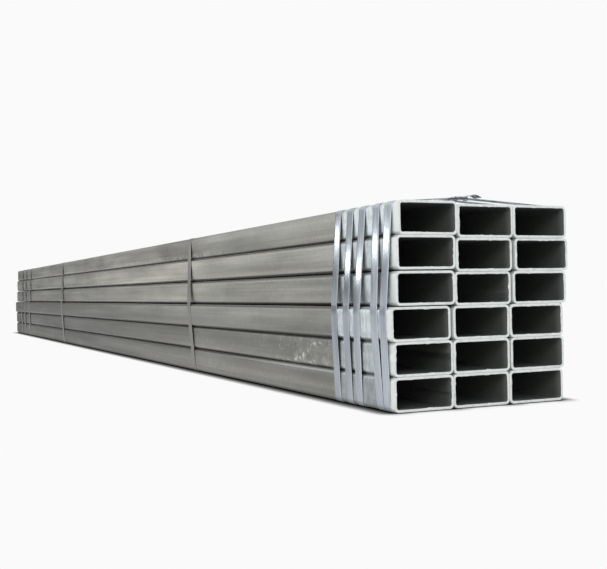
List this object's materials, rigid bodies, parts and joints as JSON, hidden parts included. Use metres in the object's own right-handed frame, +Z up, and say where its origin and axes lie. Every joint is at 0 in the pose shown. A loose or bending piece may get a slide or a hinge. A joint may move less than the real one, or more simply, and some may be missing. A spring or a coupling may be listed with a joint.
{
  "type": "stack of steel tubes",
  "caption": "Strapped bundle of galvanised rectangular steel tubes in full mill lengths, wide faces flat, with open cut ends, flat steel straps and crimped seals.",
  "frame": {"origin": "centre of the bundle's underside, where the lowest straps meet the ground", "axes": "+Y along the tubes from the front ends to the far ends, +X across the stack, +Z up"},
  "size_m": [0.5106, 6.05, 0.5086],
  "materials": {
    "galvanised_tube": "matte",
    "steel_strap": "satin",
    "seal_steel": "satin"
  },
  "bodies": {
    "root": {"tube_row1_column1": "galvanised_tube", "tube_row1_column2": "galvanised_tube", "tube_row1_column3": "galvanised_tube", "tube_row2_column1": "galvanised_tube", "tube_row2_column2": "galvanised_tube", "tube_row2_column3": "galvanised_tube", "tube_row3_column1": "galvanised_tube", "tube_row3_column2": "galvanised_tube", "tube_row3_column3": "galvanised_tube", "tube_row4_column1": "galvanised_tube", "tube_row4_column2": "galvanised_tube", "tube_row4_column3": "galvanised_tube", "tube_row5_column1": "galvanised_tube", "tube_row5_column2": "galvanised_tube", "tube_row5_column3": "galvanised_tube", "tube_row6_column1": "galvanised_tube", "tube_row6_column2": "galvanised_tube", "tube_row6_column3": "galvanised_tube", "strap_1": "steel_strap", "strap_2": "steel_strap", "strap_3": "steel_strap", "strap_4": "steel_strap", "strap_5": "steel_strap", "strap_6": "steel_strap", "strap_7": "steel_strap", "strap_8": "steel_strap", "strap_9": "steel_strap", "strap_10": "steel_strap", "seal_1": "seal_steel", "seal_2": "seal_steel", "seal_3": "seal_steel", "seal_4": "seal_steel", "seal_5": "seal_steel", "seal_6": "seal_steel", "seal_7": "seal_steel", "seal_8": "seal_steel", "seal_9": "seal_steel", "seal_10": "seal_steel"}
  },
  "joints": []
}
